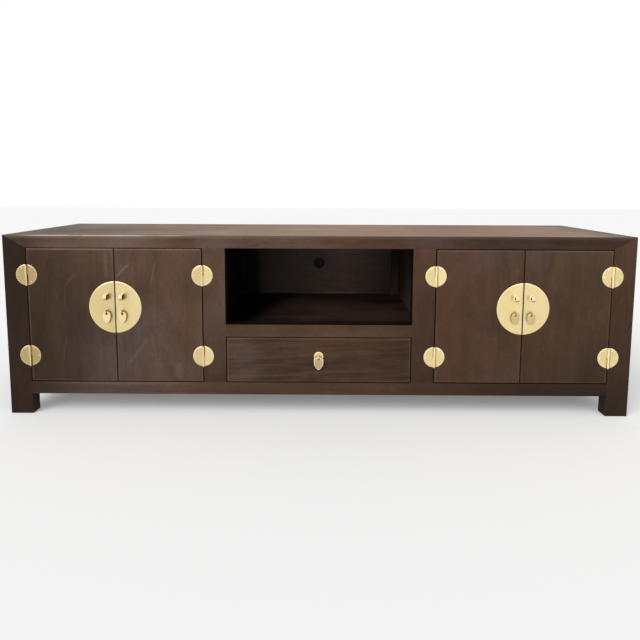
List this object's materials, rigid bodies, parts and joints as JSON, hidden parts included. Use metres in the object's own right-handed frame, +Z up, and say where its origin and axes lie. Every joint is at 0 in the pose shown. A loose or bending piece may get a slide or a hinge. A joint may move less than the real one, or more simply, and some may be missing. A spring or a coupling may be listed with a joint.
{
  "type": "kang cabinet",
  "caption": "Long low kang cabinet in dark wood with paired flat doors beside an open niche over a drawer, mitred frame, round brass face plates, hinges and pendant pulls.",
  "frame": {"origin": "on the floor under the middle of the whole object, the fittings on its front included", "axes": "+X along the cabinet's length, -Y out of its front, +Z up"},
  "size_m": [1.8, 0.4704, 0.525],
  "materials": {
    "dark_wood": "satin stain",
    "inner_wood": "matt",
    "brass": "satin"
  },
  "bodies": {
    "carcass": {"back_panel": "dark_wood", "bottom_board": "dark_wood", "door_stops": "inner_wood", "drawer_runners": "inner_wood", "front_bottom_rail": "dark_wood", "front_left_leg": "dark_wood", "front_right_leg": "dark_wood", "front_top_rail": "dark_wood", "hinge_frame_leaves": "brass", "hinge_pins": "brass", "left_divider": "dark_wood", "left_front_stile": "dark_wood", "left_side_panel": "dark_wood", "left_top_rail": "dark_wood", "middle_rail": "dark_wood", "niche_shelf": "dark_wood", "rear_bottom_rail": "dark_wood", "rear_left_leg": "dark_wood", "rear_right_leg": "dark_wood", "rear_stiles": "dark_wood", "rear_top_rail": "dark_wood", "right_divider": "dark_wood", "right_front_stile": "dark_wood", "right_side_panel": "dark_wood", "right_top_rail": "dark_wood", "side_bottom_rails": "dark_wood", "top_battens": "inner_wood", "top_boards": "dark_wood"},
    "left_outer_door": {"left_outer_door_hinge_leaves": "brass", "left_outer_door_panel": "dark_wood", "left_outer_face_plate": "brass", "left_outer_lock_eye": "brass", "left_outer_pull_ring": "brass"},
    "left_outer_pendant": {"left_outer_pendant": "brass"},
    "left_inner_door": {"left_inner_door_hinge_leaves": "brass", "left_inner_door_panel": "dark_wood", "left_inner_face_plate": "brass", "left_inner_lock_eye": "brass", "left_inner_pull_ring": "brass"},
    "left_inner_pendant": {"left_inner_pendant": "brass"},
    "right_inner_door": {"right_inner_door_hinge_leaves": "brass", "right_inner_door_panel": "dark_wood", "right_inner_face_plate": "brass", "right_inner_lock_eye": "brass", "right_inner_pull_ring": "brass"},
    "right_inner_pendant": {"right_inner_pendant": "brass"},
    "right_outer_door": {"right_outer_door_hinge_leaves": "brass", "right_outer_door_panel": "dark_wood", "right_outer_face_plate": "brass", "right_outer_lock_eye": "brass", "right_outer_pull_ring": "brass"},
    "right_outer_pendant": {"right_outer_pendant": "brass"},
    "drawer": {"drawer_front": "dark_wood", "drawer_sides": "inner_wood", "drawer_back": "inner_wood", "drawer_bottom": "inner_wood", "drawer_backplate": "brass", "drawer_pull_ring": "brass"},
    "drawer_pendant": {"drawer_pendant": "brass"}
  },
  "joints": [
    {"name": "left_outer_door_hinge", "type": "hinge", "parent": "carcass", "child": "left_outer_door", "pos_m": [-0.83475, -0.21765, 0.2925], "axis": [0, 0, -1], "range_deg": [0, 170]},
    {"name": "left_outer_pendant_swing", "type": "hinge", "parent": "left_outer_door", "child": "left_outer_pendant", "pos_m": [-0.6065, -0.22275, 0.305], "axis": [-1, 0, 0], "range_deg": [-8, 80]},
    {"name": "left_inner_door_hinge", "type": "hinge", "parent": "carcass", "child": "left_inner_door", "pos_m": [-0.33325, -0.21765, 0.2925], "axis": [0, 0, 1], "range_deg": [0, 170]},
    {"name": "left_inner_pendant_swing", "type": "hinge", "parent": "left_inner_door", "child": "left_inner_pendant", "pos_m": [-0.5615, -0.22275, 0.305], "axis": [-1, 0, 0], "range_deg": [-8, 80]},
    {"name": "right_inner_door_hinge", "type": "hinge", "parent": "carcass", "child": "right_inner_door", "pos_m": [0.33325, -0.21765, 0.2925], "axis": [0, 0, -1], "range_deg": [0, 170]},
    {"name": "right_inner_pendant_swing", "type": "hinge", "parent": "right_inner_door", "child": "right_inner_pendant", "pos_m": [0.5615, -0.22275, 0.305], "axis": [-1, 0, 0], "range_deg": [-8, 80]},
    {"name": "right_outer_door_hinge", "type": "hinge", "parent": "carcass", "child": "right_outer_door", "pos_m": [0.83475, -0.21765, 0.2925], "axis": [0, 0, 1], "range_deg": [0, 170]},
    {"name": "right_outer_pendant_swing", "type": "hinge", "parent": "right_outer_door", "child": "right_outer_pendant", "pos_m": [0.6065, -0.22275, 0.305], "axis": [-1, 0, 0], "range_deg": [-8, 80]},
    {"name": "drawer_slide", "type": "slide", "parent": "carcass", "child": "drawer", "axis": [0, 1, 0], "range_m": [-0.3, 0]},
    {"name": "drawer_pendant_swing", "type": "hinge", "parent": "drawer", "child": "drawer_pendant", "pos_m": [0, -0.22275, 0.175], "axis": [-1, 0, 0], "range_deg": [-8, 80]}
  ]
}
